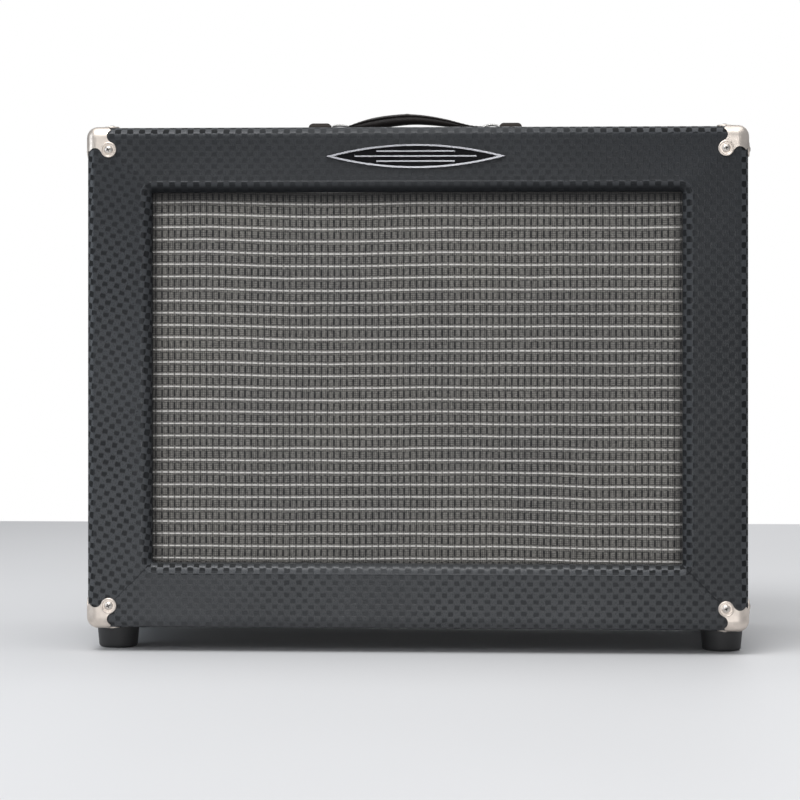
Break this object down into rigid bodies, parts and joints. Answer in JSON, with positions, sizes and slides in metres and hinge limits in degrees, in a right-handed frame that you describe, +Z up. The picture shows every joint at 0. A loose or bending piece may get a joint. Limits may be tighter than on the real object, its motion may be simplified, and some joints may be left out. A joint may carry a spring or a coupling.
{
  "type": "guitar amplifier",
  "caption": "Open-backed guitar combo amplifier with a front grille cloth, speaker, hanging tube chassis, rear controls, corner caps and a strap handle.",
  "frame": {"origin": "on the floor under the middle of the amplifier's bounding box", "axes": "+X to the right seen from the front, the front faces -Y, the open back faces +Y, +Z up"},
  "size_m": [0.6162, 0.271, 0.506],
  "materials": {
    "covering": "embossed check-pattern vinyl",
    "plywood": "bare plywood",
    "black_board": "black painted board",
    "grille": "woven grille cloth, grey and black with silver lines",
    "nickel": "satin nickel plate",
    "screw_steel": "plated steel",
    "black_screw": "blackened steel",
    "rubber": "moulded black rubber",
    "badge": "polished rim with black enamel field",
    "handle_cap": "moulded dark brown",
    "strap_steel": "bright spring steel",
    "handle_leather": "stitched dark leatherette",
    "chassis_steel": "zinc plated sheet",
    "faceplate": "satin black with plain numbers",
    "circuit": "fibre board",
    "components": "moulded capacitors and resistors",
    "transformer": "black enamelled end bells",
    "capacitor_can": "drawn aluminium can",
    "ceramic": "glazed socket",
    "tube_glass": "clear blown glass",
    "tube_shield": "bright shield can",
    "pot_steel": "plated housing",
    "knob": "moulded skirted knob",
    "jack": "moulded jack body",
    "toggle": "chrome plated",
    "jewel": "faceted red jewel in a chrome ring",
    "black_plastic": "moulded black",
    "reverb_steel": "zinc plated tray",
    "basket": "grey-black stamped steel",
    "gasket": "pressed cork-paper ring",
    "cone_paper": "ribbed dark paper",
    "surround": "doped cloth",
    "spider": "corrugated amber cloth",
    "coil": "copper winding on a former",
    "magnet": "ferrite ring",
    "motor_steel": "passivated steel plates",
    "terminal": "fibre terminal strip"
  },
  "bodies": {
    "cabinet": {"back_cleats": "plywood", "badge_plate": "badge", "baffle_board": "black_board", "board_components": "components", "bottom_board": "plywood", "chassis": "chassis_steel", "chassis_bolts": "screw_steel", "circuit_board": "circuit", "control_panel": "faceplate", "corner_caps": "nickel", "corner_screws": "screw_steel", "filter_capacitors": "capacitor_can", "foot_screws": "screw_steel", "front_frame": "plywood", "fuse_holder": "black_plastic", "grille_cloth": "grille", "handle_end_caps": "handle_cap", "handle_screws": "black_screw", "handle_strap_ends": "strap_steel", "jack_sockets": "jack", "left_side_board": "plywood", "lower_back_panel": "covering", "mains_inlet": "black_plastic", "motor_plates": "motor_steel", "output_transformer": "transformer", "panel_nuts": "toggle", "panel_screws": "black_screw", "pilot_lamp": "jewel", "potentiometers": "pot_steel", "power_transformer": "transformer", "power_tubes": "tube_glass", "preamp_tubes": "tube_glass", "reverb_tank": "reverb_steel", "right_side_board": "plywood", "rubber_feet": "rubber", "speaker_basket": "basket", "speaker_bolts": "screw_steel", "speaker_gasket": "gasket", "speaker_magnet": "magnet", "speaker_spider": "spider", "speaker_surround": "surround", "speaker_terminals": "terminal", "toggle_switches": "pot_steel", "top_board": "plywood", "tube_shields": "tube_shield", "tube_sockets": "ceramic", "vinyl_covering": "covering"},
    "handle": {"handle_grip": "handle_leather"},
    "cone": {"speaker_cone": "cone_paper", "dust_cap": "cone_paper", "voice_coil": "coil"},
    "power_switch": {"power_lever": "toggle"},
    "standby_switch": {"standby_lever": "toggle"},
    "fuse_carrier": {"fuse_cap": "black_plastic"},
    "volume_control": {"volume_knob": "knob"},
    "treble_control": {"treble_knob": "knob"},
    "bass_control": {"bass_knob": "knob"},
    "reverb_control": {"reverb_knob": "knob"},
    "speed_control": {"speed_knob": "knob"},
    "intensity_control": {"intensity_knob": "knob"}
  },
  "joints": [
    {"name": "volume_turn", "type": "hinge", "parent": "cabinet", "child": "volume_control", "pos_m": [0.188, 0.1026, 0.4357], "axis": [0, 1, 0], "range_deg": [-150, 150]},
    {"name": "treble_turn", "type": "hinge", "parent": "cabinet", "child": "treble_control", "pos_m": [0.146, 0.1026, 0.4357], "axis": [0, 1, 0], "range_deg": [-150, 150]},
    {"name": "bass_turn", "type": "hinge", "parent": "cabinet", "child": "bass_control", "pos_m": [0.104, 0.1026, 0.4357], "axis": [0, 1, 0], "range_deg": [-150, 150]},
    {"name": "reverb_turn", "type": "hinge", "parent": "cabinet", "child": "reverb_control", "pos_m": [0.062, 0.1026, 0.4357], "axis": [0, 1, 0], "range_deg": [-150, 150]},
    {"name": "speed_turn", "type": "hinge", "parent": "cabinet", "child": "speed_control", "pos_m": [0.02, 0.1026, 0.4357], "axis": [0, 1, 0], "range_deg": [-150, 150]},
    {"name": "intensity_turn", "type": "hinge", "parent": "cabinet", "child": "intensity_control", "pos_m": [-0.022, 0.1026, 0.4357], "axis": [0, 1, 0], "range_deg": [-150, 150]},
    {"name": "power_flip", "type": "hinge", "parent": "cabinet", "child": "power_switch", "pos_m": [-0.176, 0.1051, 0.4357], "axis": [1, 0, 0], "range_deg": [0, 26]},
    {"name": "standby_flip", "type": "hinge", "parent": "cabinet", "child": "standby_switch", "pos_m": [-0.15, 0.1051, 0.4357], "axis": [1, 0, 0], "range_deg": [0, 26]},
    {"name": "fuse_turn", "type": "hinge", "parent": "cabinet", "child": "fuse_carrier", "pos_m": [-0.2, 0.1026, 0.4357], "axis": [0, 1, 0], "range_deg": [0, 45]},
    {"name": "cone_travel", "type": "slide", "parent": "cabinet", "child": "cone", "axis": [0, 1, 0], "range_m": [-0.004, 0.004], "stiffness_N_per_m": 2500, "deforming": ["speaker_surround", "speaker_spider"]},
    {"name": "handle_lift", "type": "slide", "parent": "cabinet", "child": "handle", "axis": [0, 0, 1], "range_m": [0, 0.01], "deforming": ["handle_strap_ends"]}
  ]
}
